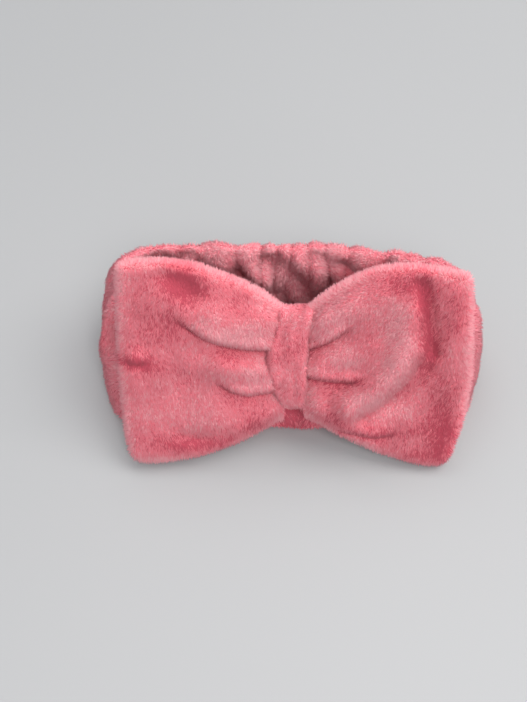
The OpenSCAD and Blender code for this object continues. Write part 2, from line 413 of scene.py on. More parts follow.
def makePileTree():
    tree, graph, given = newTree("plushPile", {
        "Density": "Float", "Length": "Float", "Width": "Float", "Lay": "Float", "Ruffle": "Float",
        "Shade": "Float", "Seed": "Int"})
    seed = graph.wire(given, "Seed")

    def vector(operation, first, second=None, scale=None):
        inputs = {0: first}
        if second is not None:
            inputs[1] = second
        if scale is not None:
            inputs["Scale"] = scale
        node = graph.node("ShaderNodeVectorMath", {"operation": operation}, inputs)
        return pick(node, "Vector")

    def attribute(name, kind):
        node = graph.node("GeometryNodeInputNamedAttribute", {"data_type": kind}, {"Name": name})
        return pick(node, "Attribute")

    def random(low, high, offset):
        node = graph.node("FunctionNodeRandomValue", {"data_type": "FLOAT"},
                          {"Min": low, "Max": high, "Seed": seed + float(offset)})
        return graph.wire(node, "Value")

    cover = Wire(graph, attribute("pile", "FLOAT"))
    scatter = graph.node("GeometryNodeDistributePointsOnFaces", {}, {
        "Mesh": pick(given, "Geometry"), "Density": cover * graph.wire(given, "Density"), "Seed": seed})
    normal = pick(scatter, "Normal")
    comb = attribute("comb", "FLOAT_VECTOR")

    # each tuft leans along the comb, a little unevenly
    jitter = graph.node("FunctionNodeRandomValue", {"data_type": "FLOAT_VECTOR"},
                        {"Min": (-1.0, -1.0, -1.0), "Max": (1.0, 1.0, 1.0), "Seed": seed + 5.0})
    lean = vector("SCALE", comb, scale=graph.wire(given, "Lay"))
    stray = vector("SCALE", pick(jitter, "Value"), scale=graph.wire(given, "Ruffle"))
    way = vector("ADD", vector("ADD", normal, lean), stray)
    upright = graph.node("FunctionNodeAlignRotationToVector", {"axis": "Z"}, {"Vector": way})
    turned = graph.node("FunctionNodeAlignRotationToVector", {"axis": "X", "pivot_axis": "Z"},
                        {"Rotation": pick(upright, "Rotation"), "Vector": vector("ADD", comb, stray)})

    # one tuft: a three-sided spike
    spike = graph.node("GeometryNodeMeshCone", {"fill_type": "NONE"}, {
        "Vertices": 3, "Side Segments": 1, "Radius Top": 0.0,
        "Radius Bottom": graph.wire(given, "Width"), "Depth": graph.wire(given, "Length")})

    stretch = random(0.65, 1.2, 11)
    girth = random(0.75, 1.25, 12)
    size = graph.node("ShaderNodeCombineXYZ", {}, {"X": girth, "Y": girth, "Z": stretch})

    # brushed patches, chance and the painted highlight and painted shade held in the cloth's tone settle
    # which shade a tuft takes
    spot = pick(graph.node("GeometryNodeInputPosition"), "Position")
    patches = graph.node("ShaderNodeTexNoise", {}, {
        "Vector": spot, "Scale": brushing["patches"], "Detail": 2.0})
    streaks = graph.node("ShaderNodeTexNoise", {}, {
        "Vector": spot, "Scale": brushing["streaks"], "Detail": 1.0})
    nap = Wire(graph, attribute("nap", "FLOAT"))
    tone = (graph.wire(patches, "Fac") - 0.5) * brushing["patchDepth"]
    tone = tone + (graph.wire(streaks, "Fac") - 0.5) * brushing["streakDepth"] + nap
    tone = tone + random(-1.0, 1.0, 21) * brushing["chance"] + graph.wire(given, "Shade")
    last = len(pileShades) - 1
    held = graph.node("ShaderNodeClamp", {}, {"Value": tone, "Min": 0.0, "Max": last + 0.499})
    step = Wire(graph, pick(held, "Result")).floor()

    shaded = []
    for index, material in enumerate(pileShades):
        chosen = graph.node("ShaderNodeMath", {"operation": "COMPARE"}, {0: step, 1: float(index), 2: 0.1})
        part = graph.node("GeometryNodeSeparateGeometry", {"domain": "POINT"},
                          {"Geometry": pick(scatter, "Points"), "Selection": pick(chosen, "Value")})
        standing = graph.node("GeometryNodeInstanceOnPoints", {}, {
            "Points": pick(part, "Selection"), "Instance": pick(spike, "Mesh"),
            "Rotation": pick(turned, "Rotation"), "Scale": pick(size, "Vector")})
        real = graph.node("GeometryNodeRealizeInstances", {}, {"Geometry": pick(standing, "Instances")})
        painted = graph.node("GeometryNodeSetMaterial", {}, {
            "Geometry": pick(real, "Geometry"), "Material": material})
        shaded.append(pick(painted, "Geometry"))
    joined = graph.node("GeometryNodeJoinGeometry")
    for part in reversed(shaded):
        tree.links.new(part, joined.inputs[0])
    result = graph.node("NodeGroupOutput")
    tree.links.new(pick(joined, "Geometry"), result.inputs["Geometry"])
    return tree


pileTree = makePileTree()
pileDefaults = {"Density": 5.6e6, "Length": 2.7 * mm, "Width": 0.33 * mm, "Lay": 1.15, "Ruffle": 0.42,
                "Shade": 2.0, "Seed": 1}


def grow(base, tree, name, sizes):  # what a tree makes of a piece, as a plain mesh of its own
    modifier = base.modifiers.new(tree.name, "NODES")
    modifier.node_group = tree
    for item in tree.interface.items_tree:
        if item.in_out == "INPUT" and item.name in sizes:
            modifier[item.identifier] = sizes[item.name]
    bpy.context.view_layer.update()
    grown = base.evaluated_get(bpy.context.evaluated_depsgraph_get())
    mesh = bpy.data.meshes.new_from_object(grown)
    base.modifiers.remove(modifier)
    mesh.name = name
    for attribute in [a.name for a in mesh.attributes if a.name in ("pile", "comb", "nap")]:
        mesh.attributes.remove(mesh.attributes[attribute])
    mesh.polygons.foreach_set("use_smooth", np.ones(len(mesh.polygons), bool))
    for index in reversed(range(len(mesh.materials))):  # a tree leaves an empty first slot
        if mesh.materials[index] is None:
            mesh.materials.pop(index=index)
    return linkPiece(name, mesh)


def growPile(name, cloth, **changes):
    pile = grow(cloth, pileTree, name, {**pileDefaults, **changes})
    print("pile:", name, len(pile.data.polygons), "faces")
    return pile


# the bow's slope


def middle(node):
    low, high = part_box(node)
    return (low + high) / 2


sideways = np.array((1.0, 0, 0))
upright = np.array((0, 0, 1.0))
foldJoint = next(j for j in frame["joints"] if j["name"] == "right_wing_fold")
slopeUp = -np.array(foldJoint["axis"])
slopeBack = np.array((0, slopeUp[2], -slopeUp[1]))
slopeRun = slopeUp[1] / slopeUp[2]
bowMiddle = np.array((middle("right_wing_front_panel") + middle("right_wing_back_panel")) / 2)
bowMiddle[0] = 0


def onSlope(x, s, d):  # millimetres across, up the slope and behind the bow's middle plane
    x, s, d = (part[..., None] for part in np.broadcast_arrays(x, s, d))
    return bowMiddle + mm * (x * sideways + s * slopeUp + d * slopeBack)


# wings

wing = {
    "across": 120, "upwards": 132,  # grid steps
    "crowdOut": 1.35, "crowdUp": 0.4,  # how far the steps crowd towards the rim
    "halfTall": 54,
    "rootX": 4.6, "pinchX": 15.0, "pinched": 0.62,  # the share of its height left under the knot
    "bareRoot": 1.5,  # no pile this near the root
    "pileStand": 2.7,  # how far the pile stands outside the knitted ground
    "frontRise": 3.1, "backRise": 3.2, "rimWidth": 6.0, "rimRise": 0.12, "leastRise": 1.6,
    "calm": 9,  # the folds die away this near the rim
    "rimHighlight": 1.5, "rimHighlightWidth": 4.0,  # painted highlight: shades paler along the rim, where the brushed-up fuzz catches light
    "rimTurn": 0.9, "turnWidth": 2.6,  # how far the pile turns outwards along the rim
    "reliefLightAndShade": 0.11,  # painted light and shade: shades paler on raised folds and deeper in hollows, for each millimetre of relief
    "cloth": 1.5,
    "cornerTop": 3.5, "cornerFoot": 6.5,
    "frontPile": 5.6e6, "backPile": 3.4e6,  # tufts per square metre
    "rollX": (9.0, 24.0),  # between these the cloth rolls when the wing folds
}
# outlines in millimetres from the bow's middle: (x, height) and (height, x)
wingLines = {
    "left": {
        "top": [(0, 27), (8, 32), (13, 36), (20, 40.8), (34, 46.8), (48, 52), (66, 55), (80, 54.5), (95, 52)],
        "foot": [(0, -31), (9, -33), (28, -44), (49, -52), (70, -55.5), (95, -55)],
        "edge": [(-60, 86.5), (-43, 89), (-10, 91), (15, 91.5), (35, 91.5), (60, 91.5)],
    },
    "right": {
        "top": [(0, 27), (8, 31), (16, 38), (24, 43), (34, 48), (45, 51.5), (60, 52), (75, 50), (95, 46)],
        "foot": [(0, -29), (12, -33), (22, -39.5), (42, -49), (55, -53.5), (68, -57), (95, -57)],
        "edge": [(-60, 82), (-48, 85), (-35, 88.5), (-5, 92), (12, 92), (42, 91), (60, 90)],
    },
}
# folds of each front: kind, line from the knot outwards, height in mm, width in mm.
# A tuck is a sharp crease whose upper lip hangs over it, a swell a soft ridge, a dip a soft hollow.
wingFolds = {
    "left": [
        ("swell", [(8, 20), (26, 20), (46, 26), (62, 33)], 6.8, 9.5),
        ("swell", [(8, -2), (24, -3), (38, -1), (52, 2)], 6.5, 7.5),
        ("swell", [(8, -25), (30, -29), (55, -32)], 3.5, 12),
        ("swell", [(64, 10), (76, -12), (70, -34)], 2.5, 16),
        ("tuck", [(7, 8), (24, 9.0), (37, 11.2), (47.6, 15.4), (57, 22), (64, 27)], 10.0, 1.9),
        ("tuck", [(7, -12.5), (24, -15.6), (33, -13.6), (42, -7)], 9.0, 1.8),
        ("tuck", [(90, 2), (80, 0.4), (71, 2)], 4.0, 1.8),
        ("dip", [(64, 48), (58, 42), (52, 35)], 3.5, 7),
        ("dip", [(58, -38), (46, -39), (35, -38)], 1.8, 4),
        ("dip", [(50, 6), (60, -6), (66, -14)], 2.0, 9),
    ],
    "right": [
        ("swell", [(8, 22), (26, 28), (42, 32)], 6.5, 10),
        ("swell", [(8, 1), (24, 4), (38, 8)], 4.6, 7),
        ("swell", [(28, -21), (40, -13), (51, -3), (57, 8), (58, 26)], 9.0, 7.5),
        ("swell", [(12, -24), (30, -28), (55, -30)], 3.5, 9),
        ("tuck", [(7, 8), (17.6, 12.8), (30, 21)], 8.5, 1.8),
        ("tuck", [(6, -6), (15.4, -7.8), (28.6, -9.1), (37, -6)], 8.0, 1.7),
        ("dip", [(36, -27), (48, -20), (59, -11), (66, -2)], 5.0, 4.5),
        ("dip", [(64, 42), (67, 30), (69, 18), (70, 7)], 8.0, 3.6),
        ("dip", [(70, 9), (71, 6)], 4.0, 2.2),
        ("tuck", [(24, -35), (41.6, -38.5), (55, -36)], 6.0, 1.9),
        ("swell", [(82, 36), (83, 12), (80, -14)], 2.5, 7),
    ],
}
# where the pile is brushed the wrong way and looks deeper, in places painted shade in gullies and hollows;
# where the strength is below zero, paler: painted highlight on lit ridge flanks. x, height, half sizes,
# strength
wingBrushAndLightMarks = {
    "left": [
        (57, 42, 9, 9, 3.0), (82, 2, 11, 3.5, 2.2), (72, -2, 8, 3, 1.4), (45, -43, 24, 6, 1.9),
        (20, -32, 10, 5, 1.5), (66, 22, 12, 9, 1.0), (32, 27, 9, 6, 1.0), (30, -22, 12, 5, 0.6),
        (36, 4, 8, 4, 0.6), (28, 14, 16, 6, -0.6), (66, -26, 20, 14, -0.4), (36, 38, 16, 9, 0.9),
        (80, 20, 10, 20, 0.3),
    ],
    "right": [
        (65, 29, 6, 18, 2.4), (70, 7, 5, 5, 2.6), (54, 42, 12, 7, 1.4), (82, 30, 6, 14, 1.0),
        (82, -34, 9, 18, 1.7), (50, -35, 18, 4, 1.6), (64, -50, 20, 6, 1.8), (20, -28, 10, 6, 1.3),
        (36, -9, 9, 4, 1.2), (74, -8, 10, 10, 0.7), (55, 15, 12, 24, -0.9), (44, 26, 14, 10, -0.5),
        (24, 2, 12, 5, -0.6), (50, -22, 14, 7, -0.7),
    ],
}


# a tuck's section: heights as shares of its depth, reaches as shares of its width
tuck = {
    "lip": 0.7, "lipReach": 3.4, "bed": -0.55, "bedReach": 3.0, "groove": -0.5, "grooveReach": 0.7,
    "undercut": 0.6, "fade": 0.45,
    # painted shade: the pile inside it takes deeper, darker shades, and it is thinner
    "paintedShade": 0.3, "paintedShadeWidth": 1.8, "paintedShadeFade": 0.3, "thinned": 0.65,
}


def bell(distance, reach):
    return np.exp(-((distance / reach) ** 2))


def foldRelief(x, s, folds):
    height = np.zeros(x.shape)
    for kind, path, depth, width in folds:
        distance, side, share = lineDistance(x, s, path)
        if kind == "swell":
            height += depth * bell(distance, width) * (0.35 + 0.65 * smooth((1 - share) / 0.5))
        elif kind == "dip":
            height -= depth * bell(distance, width)
        else:
            beyond = (np.clip(share, 0.999, 1) - 0.999) * 1000  # 1 past the tuck's end, so it stops there
            fade = smooth((1 - share) / tuck["fade"]) * np.exp(-beyond * distance / width)
            above = side * math.copysign(1, path[-1][0] - path[0][0]) > 0
            lip = tuck["lip"] * bell(distance, tuck["lipReach"] * width)
            bed = tuck["bed"] * np.exp(-distance / (tuck["bedReach"] * width))
            groove = tuck["groove"] * bell(distance, tuck["grooveReach"] * width)
            step = np.where(above, lip, bed) * (1 - bell(distance, tuck["undercut"] * width) * above)
            height += depth * fade * (step + groove)
    return height


def wingGrid(lines):
    t = np.linspace(0, 1, wing["across"])[:, None]
    u = 1 - (1 - t) ** wing["crowdOut"]
    v = crowded(wing["upwards"], wing["crowdUp"])
    nominal = wing["halfTall"] * v + 0 * u
    edge = along(lines["edge"], nominal) - wing["pileStand"]
    x = wing["rootX"] + (edge - wing["rootX"]) * u
    inset = edge - x
    span = np.where(v > 0, wing["cornerTop"], wing["cornerFoot"])
    short = np.clip(span - inset, 0, None)
    drop = span - np.sqrt(np.clip(span ** 2 - short ** 2, 0, None))
    top = along(lines["top"], x) - wing["pileStand"] - drop
    foot = along(lines["foot"], x) + wing["pileStand"] + drop
    s = (top + foot) / 2 + v * (top - foot) / 2
    ends = np.stack([inset + 0 * s, top - s, s - foot], -1)
    ways = np.array([(1.0, 0.0), (0.0, 1.0), (0.0, -1.0)])
    return x, s, ends.min(-1), ways[ends.argmin(-1)]


def combOnSlope(x, s, sign, seed):
    place = np.stack([x, s], -1)
    angle = math.radians(-120 if sign > 0 else -100)
    angle = angle + 0.45 * ripple(place, 70, seed) + 0.2 * ripple(place, 22, seed + 1)
    across, upward = np.cos(angle) * sign, np.sin(angle)
    return across[..., None] * sideways + upward[..., None] * slopeUp


def makeWing(side, face):
    sign = -1 if side == "left" else 1
    lines = wingLines[side]
    x, s, border, outward = wingGrid(lines)
    rim = np.sqrt(1 - (1 - np.clip(border / wing["rimWidth"], 0, 1)) ** 2)
    place = np.stack([x, s], -1)
    if face == "front":
        relief = foldRelief(x, s, wingFolds[side])
        relief += 0.35 * ripple(place, 22, 3 if sign > 0 else 4) + 0.9 * ripple(place, 48, 8)
        relief *= smooth(border / wing["calm"])
        height = np.maximum(wing["frontRise"] + relief, wing["leastRise"] + 0.25 * relief)
    else:
        relief = 1.2 * ripple(place, 30, 5) + 1.0 * np.cos(s / 6.5) * np.exp(-x / 30)
        height = wing["backRise"] + relief * smooth(border / wing["calm"])
    pinch = smooth((x - wing["rootX"]) / (wing["pinchX"] - wing["rootX"]))
    height = height * (wing["pinched"] + (1 - wing["pinched"]) * pinch)
    height = rim * height + wing["rimRise"]
    for _ in range(2):
        height[1:-1, 1:-1] = (height[1:-1, 1:-1] * 2 + height[:-2, 1:-1] + height[2:, 1:-1]
                              + height[1:-1, :-2] + height[1:-1, 2:]) / 6
    way = -1 if face == "front" else 1
    outer = onSlope(sign * x, s, way * height)
    inner = onSlope(sign * x, s, way * np.maximum(height - wing["cloth"], 0.05))
    name = f"{side}_wing_{face}_cloth"
    pile = np.ones(x.shape) * (x > wing["rootX"] + wing["bareRoot"])
    # random tone, and a painted highlight along the rim
    nap = 0.35 * ripple(place, 34, 81 + sign) + wing["rimHighlight"] * bell(border, wing["rimHighlightWidth"])
    turned = wing["rimTurn"] * bell(border, wing["turnWidth"])[..., None]
    edgeWay = outward[..., :1] * np.array((sign, 0, 0)) + outward[..., 1:] * slopeUp
    comb = combOnSlope(x, s, sign, 20 + sign) * (1 - turned) + edgeWay * turned
    if face == "front":
        # painted highlight on the folds' crests and painted shade in their hollows
        nap += wing["reliefLightAndShade"] * relief
        # brushed patches and painted shade deepen the pile's shades; marks below zero paint highlights
        for markX, markS, wide, tall, strength in wingBrushAndLightMarks[side]:
            nap -= strength * np.exp(-(((x - markX) / wide) ** 2) - ((s - markS) / tall) ** 2)
        for kind, path, depth, width in wingFolds[side]:
            if kind == "tuck":
                # painted shade along each tuck's crease, where the pile is also thinner
                distance, _, share = lineDistance(x, s, path)
                inside = bell(distance, tuck["paintedShadeWidth"]) * smooth((1 - share) / tuck["paintedShadeFade"])
                nap -= tuck["paintedShade"] * depth * inside
                pile *= 1 - tuck["thinned"] * inside
    cloth = clothShell(name, outer, inner, pile, comb, nap, plushGround)
    hair = growPile(f"{side}_wing_{face}_pile", cloth, Density=wing[face + "Pile"], Seed=10 + sign)
    body = side + "_wing"
    start, end = (Vector(onSlope(sign * x, 0.0, 0.0)) for x in wing["rollX"])
    for piece in (cloth, hair):
        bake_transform(piece, "front_band", body, start=start, end=end)
    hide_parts(f"{side}_wing_{face}_panel")


# short stitches, each a bent bit of thread, along the lines they follow
thread = {"pitch": 6.0 * mm, "long": 4.0 * mm, "thick": 0.8 * mm, "bow": 0.35 * mm, "inset": 5.5, "sides": 8}


def makeStitchTree():
    tree, graph, given = newTree("stitchRow", {
        "Pitch": "Float", "Long": "Float", "Thick": "Float", "Bow": "Float", "Away": "Vector",
        "Sides": "Int"})
    long, thick, bow = (graph.wire(given, name) for name in ("Long", "Thick", "Bow"))

    # where the stitches lie: along the seam, their bow turned to the side they show on
    seam = graph.node("GeometryNodeMeshToCurve", {}, {"Mesh": pick(given, "Geometry")})
    marked = graph.node("GeometryNodeResampleCurve", {"mode": "LENGTH"}, {
        "Curve": pick(seam, "Curve"), "Length": graph.wire(given, "Pitch")})
    spots = graph.node("GeometryNodeCurveToPoints", {"mode": "EVALUATED"}, {"Curve": pick(marked, "Curve")})
    forward = graph.node("FunctionNodeAlignRotationToVector", {"axis": "X"}, {
        "Vector": pick(spots, "Tangent")})
    turned = graph.node("FunctionNodeAlignRotationToVector", {"axis": "Z", "pivot_axis": "X"}, {
        "Rotation": pick(forward, "Rotation"), "Vector": pick(given, "Away")})

    # one stitch: a bent run of thread that thins where it dives into the cloth
    start = graph.node("ShaderNodeCombineXYZ", {}, {"X": long * -0.5})
    crest = graph.node("ShaderNodeCombineXYZ", {}, {"Z": bow * 2.0})
    end = graph.node("ShaderNodeCombineXYZ", {}, {"X": long * 0.5})
    bent = graph.node("GeometryNodeCurveQuadraticBezier", {}, {
        "Resolution": 8, "Start": pick(start, "Vector"), "Middle": pick(crest, "Vector"),
        "End": pick(end, "Vector")})
    share = graph.wire(graph.node("GeometryNodeSplineParameter"), "Factor") * 2.0 - 1.0
    girth = (1.02 - share * share * share * share) ** 0.5
    ring = graph.node("GeometryNodeCurvePrimitiveCircle", {"mode": "RADIUS"}, {
        "Resolution": pick(given, "Sides"), "Radius": thick * 0.5})
    stitch = graph.node("GeometryNodeCurveToMesh", {}, {
        "Curve": pick(bent, "Curve"), "Profile Curve": pick(ring, "Curve"), "Scale": girth,
        "Fill Caps": True})
    laid = graph.node("GeometryNodeInstanceOnPoints", {}, {
        "Points": pick(spots, "Points"), "Instance": pick(stitch, "Mesh"),
        "Rotation": pick(turned, "Rotation")})
    real = graph.node("GeometryNodeRealizeInstances", {}, {"Geometry": pick(laid, "Instances")})
    dyed = graph.node("GeometryNodeSetMaterial", {}, {
        "Geometry": pick(real, "Geometry"), "Material": seamThread})
    result = graph.node("NodeGroupOutput")
    tree.links.new(pick(dyed, "Geometry"), result.inputs["Geometry"])
    return tree


stitchTree = makeStitchTree()


def makeStitches(name, lines, away):
    points, edges = [], []
    for line in lines:
        run = np.concatenate([[0], np.cumsum(np.linalg.norm(np.diff(line, axis=0), axis=1))])
        marks = np.linspace(thread["pitch"] / 2, run[-1] - thread["pitch"] / 2, max(2, int(run[-1] / mm)))
        edges += [(len(points) + i, len(points) + i + 1) for i in range(len(marks) - 1)]
        points += np.stack([np.interp(marks, run, line[:, k]) for k in range(3)], -1).tolist()
    mesh = bpy.data.meshes.new(name + "_line")
    mesh.from_pydata(points, edges, [])
    seam = linkPiece(name + "_line", mesh)
    sizes = {key.capitalize(): thread[key] for key in ("pitch", "long", "thick", "bow", "sides")}
    sizes["Away"] = tuple(float(a) for a in away)
    row = grow(seam, stitchTree, name, sizes)
    bpy.data.objects.remove(seam)
    return row


def makeWingStitches(side):
    sign = -1 if side == "left" else 1
    x, s, _, _ = wingGrid(wingLines[side])
    place = np.stack([x, s], -1)
    ring = np.concatenate([place[:, -1], place[-1, ::-1], place[::-1, 0]])
    keep = np.concatenate([[True], np.linalg.norm(np.diff(ring, axis=0), axis=1) > 0.05])
    ring = ring[keep]
    forward = np.gradient(ring, axis=0)
    forward /= np.linalg.norm(forward, axis=1)[:, None]
    inward = ring + thread["inset"] * np.stack([forward[:, 1], -forward[:, 0]], -1)
    inside = np.array([np.hypot(*(ring - p).T).min() > thread["inset"] - 0.4 for p in inward])
    inward = inward[inside & (inward[:, 0] > 16)]
    line = onSlope(sign * inward[:, 0], inward[:, 1], 0.0)
    row = makeStitches(f"{side}_wing_seam_thread", [line], -slopeBack)
    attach(row, side + "_wing")
    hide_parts(f"{side}_wing_seam_stitches")


for side in ("left", "right"):
    for face in ("front", "back"):
        makeWing(side, face)
    makeWingStitches(side)
print("stage: wings")

# knot

knot = {
    "around": 150, "across": 44, "crowd": 0.35,  # grid steps, and how far they crowd to the sides
    "rise": 3.0, "halfHeight": 26.0, "halfDepth": 10.6, "backDepth": 11.6, "cloth": 1.6,
    # (height, middle) and (height, half width) of the front face in millimetres
    "middleX": [(-30, -0.6), (-22, -0.8), (-12, -2.6), (-4, -3.8),
                (5, -4.0), (14, -2.8), (24, 0.4), (32, 1.0)],
    "halfWidth": [(-30, 5.2), (-22, 5.6), (-12, 8.0), (-2, 9.4),
                  (6, 9.6), (14, 8.8), (24, 8.6), (32, 9.4)],
    "backWidth": 9.4, "roundness": 0.72, "pile": 2.0 * mm,
    "level": 0.55, "slant": 0.45,  # shares of the half width that stay level and that turn down
    "edgeDrop": 3.2, "edgeRound": 2.2,
    "pleat": 0.35, "lump": 0.5,
}
waist = {"halfWidth": 5.2, "halfHeight": 19.0, "halfDepth": 5.0, "pleats": 9, "pleatDepth": 0.07}


# the bow's cloth drawn together under the knot, pleated all round
def makeWaist():
    turn = np.linspace(0, 2 * math.pi, 108, endpoint=False)[:, None]
    across = np.linspace(-1, 1, 15)[None]
    pleat = 1 + waist["pleatDepth"] * np.cos(waist["pleats"] * turn + 0.8 * across)
    end = np.sqrt(np.clip(1.04 - np.abs(across) ** 6, 0, 1))
    s = knot["rise"] + waist["halfHeight"] * np.cos(turn) * pleat * end
    d = waist["halfDepth"] * np.sin(turn) * pleat * end
    points = onSlope(waist["halfWidth"] * across + 0 * turn, s, d).reshape(-1, 3)
    caps = onSlope(waist["halfWidth"] * np.array([-1.02, 1.02]), np.full(2, knot["rise"]), np.zeros(2))
    columns = across.shape[1]
    faces = []
    for i in range(len(turn)):
        j = (i + 1) % len(turn)
        here, there = i * columns, j * columns
        faces.extend((here + k, there + k, there + k + 1, here + k + 1) for k in range(columns - 1))
        faces.append((here, len(points), there))
        faces.append((there + columns - 1, len(points) + 1, here + columns - 1))
    piece = newPiece("bow_waist_cloth", np.concatenate([points, caps]).tolist(), faces, plushGround)
    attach(piece, "front_band")
    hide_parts("bow_waist")


def makeKnot():
    turn = np.linspace(0, 2 * math.pi, knot["around"], endpoint=False)[:, None]
    v = crowded(knot["across"], knot["crowd"])
    power = knot["roundness"]  # a rounded slab seen from the side
    up = np.sign(np.cos(turn)) * np.abs(np.cos(turn)) ** power * knot["halfHeight"]
    reach = np.where(np.sin(turn) > 0, knot["halfDepth"], knot["backDepth"])
    depth = -np.sign(np.sin(turn)) * np.abs(np.sin(turn)) ** power * reach
    front = np.clip(-depth / knot["halfDepth"], 0, 1)
    s = up + knot["rise"] + 0 * v
    shift = along(knot["middleX"], s) * smooth(front * 2)
    half = along(knot["halfWidth"], s) * smooth(front * 2) + knot["backWidth"] * (1 - smooth(front * 2))
    x = shift + half * v
    crown = np.sqrt(1 - np.clip((np.abs(v) - knot["level"]) / knot["slant"], 0, 1) ** knot["edgeRound"])
    pleat = knot["pleat"] * np.cos(v * 7 + 0.8 * np.sin(turn * 3))
    pleat = pleat + knot["lump"] * ripple(np.stack([x, s], -1), 14, 31)
    lift = -knot["edgeDrop"] * (1 - crown) + pleat * crown * 0.8 * front
    length = np.hypot(up / knot["halfHeight"] ** 2, depth / knot["halfDepth"] ** 2)
    nUp, nDepth = up / knot["halfHeight"] ** 2 / length, depth / knot["halfDepth"] ** 2 / length
    outer = onSlope(x, s + nUp * lift, depth + 0 * v + nDepth * lift)
    under = np.minimum(lift - knot["cloth"] * crown - 0.3, -1.2)
    inner = onSlope(x, s + nUp * under, depth + 0 * v + nDepth * under)
    rows, columns = outer.shape[:2]
    loop = np.concatenate([outer, inner[:, ::-1]], 1)
    width = 2 * columns
    a = np.arange(rows)[:, None] * width + np.arange(width)[None]
    b = np.arange(rows)[:, None] * width + (np.arange(width)[None] + 1) % width
    quads = np.stack([a, b, (b + width) % (rows * width), (a + width) % (rows * width)], -1).reshape(-1, 4)
    covered = np.concatenate([np.ones((rows, columns)), np.zeros((rows, columns))], 1)
    angle = math.radians(-95) + 0.9 * ripple(np.stack([x, s], -1), 22, 41)
    ways = np.cos(angle)[..., None] * sideways + np.sin(angle)[..., None] * slopeUp
    ways = np.concatenate([ways, ways], 1)
    points = loop.reshape(-1, 3)
    nap = 0.4 * ripple(points / mm, 16, 43)
    cloth = clothMesh("knot_cloth", points, quads, covered, ways, nap, plushGround, len(points))
    hair = growPile("knot_pile", cloth, Length=knot["pile"], Seed=31)
    for piece in (cloth, hair):
        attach(piece, "front_band")
    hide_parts("knot_wrap")


# the loop's closing stitches run up its back, and tacks hold it to the band
def makeKnotStitches():
    up = np.linspace(-12, 18, 20)
    closing = onSlope(0.0, up, knot["backDepth"] + 0.1)
    across = np.linspace(-8, 8, 12)
    tacks = [onSlope(across, level, knot["backDepth"] + 0.9) for level in (-18.0, -11.0, -4.0)]
    for name, lines in (("closing", [closing]), ("tack", tacks)):
        row = makeStitches(f"knot_{name}_thread", lines, slopeBack)
        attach(row, "front_band")
        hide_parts(f"knot_{name}_stitches")


makeWaist()
makeKnot()
makeKnotStitches()
print("stage: knot")

# the band's loop

band = {
    "frontCorner": 27.0, "backCorner": 25.0, "seamX": 66.0,
    "archX": 69.0, "arch": 3.0, "bulge": 3.4, "tuck": 4.5,
    "flare": 4.2, "flareFoot": 0.4, "flareBack": 0.75,  # shares of the height and of the way back
    "stand": 1.0,  # the knitted ground's foot above the floor
    "cloth": 1.4, "thick": 4.0,
    "gatherPitch": 12.0, "gatherDepth": 3.2,
    "gatherStart": 34.0,  # how far before the casing the gathers begin
    "puff": {1: 0.8, -1: 2.8},  # soft lumps between the gathers, outside and inside
    "curl": {1: 0.9, -1: 1.6},  # how far the combed pile wanders
    "bareFoot": 0.012, "combUp": 0.09,  # below these shares of the height: no pile, combed upwards
    "underKnotPaintedShade": 1.8, "underKnotShadeReach": 13,  # how deep and how wide the painted shade is on the band below the knot
    "swayStart": 74, "swayFade": 20,  # past this from the front's middle the band wanders in and out
    "tall": 62.0,
    "rows": 46, "crowd": 0.3, "stripSteps": 330, "casingSteps": 260,  # grid steps
    # (distance round from the back's middle, height) of the upper edge in millimetres
    "height": [(-200, 50), (-150, 53), (-112, 58.5), (-92, 60.5), (-74, 54), (-60, 55), (0, 55),
               (36, 53.5), (58, 48), (90, 45), (120, 47), (150, 49), (200, 49)],
    "stripPile": {"Density": 2.9e6},
    "casingPile": {"Density": 4.6e6, "Length": 2.8 * mm, "Width": 0.32 * mm, "Ruffle": 0.62},
}
outerLow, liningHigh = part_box("back_outer_panel")[0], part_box("back_lining_panel")[1]
frontLow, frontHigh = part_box("front_outer_panel")
pathBackY = (outerLow.y + liningHigh.y) / 2 / mm
pathFrontY = frontLow.y / mm + 5.2 / slopeUp[2]
pathX = frontHigh.x / mm + 0.4 + band["frontCorner"]
frontTop = frontHigh.z / mm


# the loop in plan as lists of x, y and the way out, from the front's middle round to the back's middle
def halfLoop():
    corner, heel = band["frontCorner"], band["backCorner"]
    xs, ys, ways = [], [], []

    def add(x, y, way):
        xs.append(x)
        ys.append(y)
        ways.append(way)

    for x in np.linspace(0, pathX - corner, 60, endpoint=False):
        add(x, pathFrontY, -90.0)
    for a in np.linspace(-90, 0, 50, endpoint=False):
        r = math.radians(a)
        add(pathX + corner * (math.cos(r) - 1), pathFrontY + corner * (1 + math.sin(r)), a)
    for y in np.linspace(pathFrontY + corner, pathBackY - heel, 30, endpoint=False):
        add(pathX, y, 0.0)
    for a in np.linspace(0, 90, 50, endpoint=False):
        r = math.radians(a)
        add(pathX + heel * (math.cos(r) - 1), pathBackY + heel * (math.sin(r) - 1), a)
    for x in np.linspace(pathX - heel, 0, 60):
        add(x, pathBackY, 90.0)
    return np.array(xs), np.array(ys), np.array(ways)


loopX, loopY, loopWay = halfLoop()
loopRun = np.concatenate([[0], np.cumsum(np.hypot(np.diff(loopX), np.diff(loopY)))])
loopLength = loopRun[-1]
casingRun = loopLength - band["seamX"]


# run goes from the front's middle to the right, and past the back's middle it comes round
def loopAt(run):
    turned = (run + loopLength) % (2 * loopLength) - loopLength
    sign = np.where(turned < 0, -1.0, 1.0)
    part = np.abs(turned)
    way = np.radians(np.interp(part, loopRun, loopWay))
    x, y = np.interp(part, loopRun, loopX), np.interp(part, loopRun, loopY)
    return sign * x, y, sign * np.cos(way), np.sin(way)


def backRun(run):  # distance from the back's middle, positive on the right
    turned = (run + loopLength) % (2 * loopLength) - loopLength
    return np.where(turned < 0, -1.0, 1.0) * (loopLength - np.abs(turned))


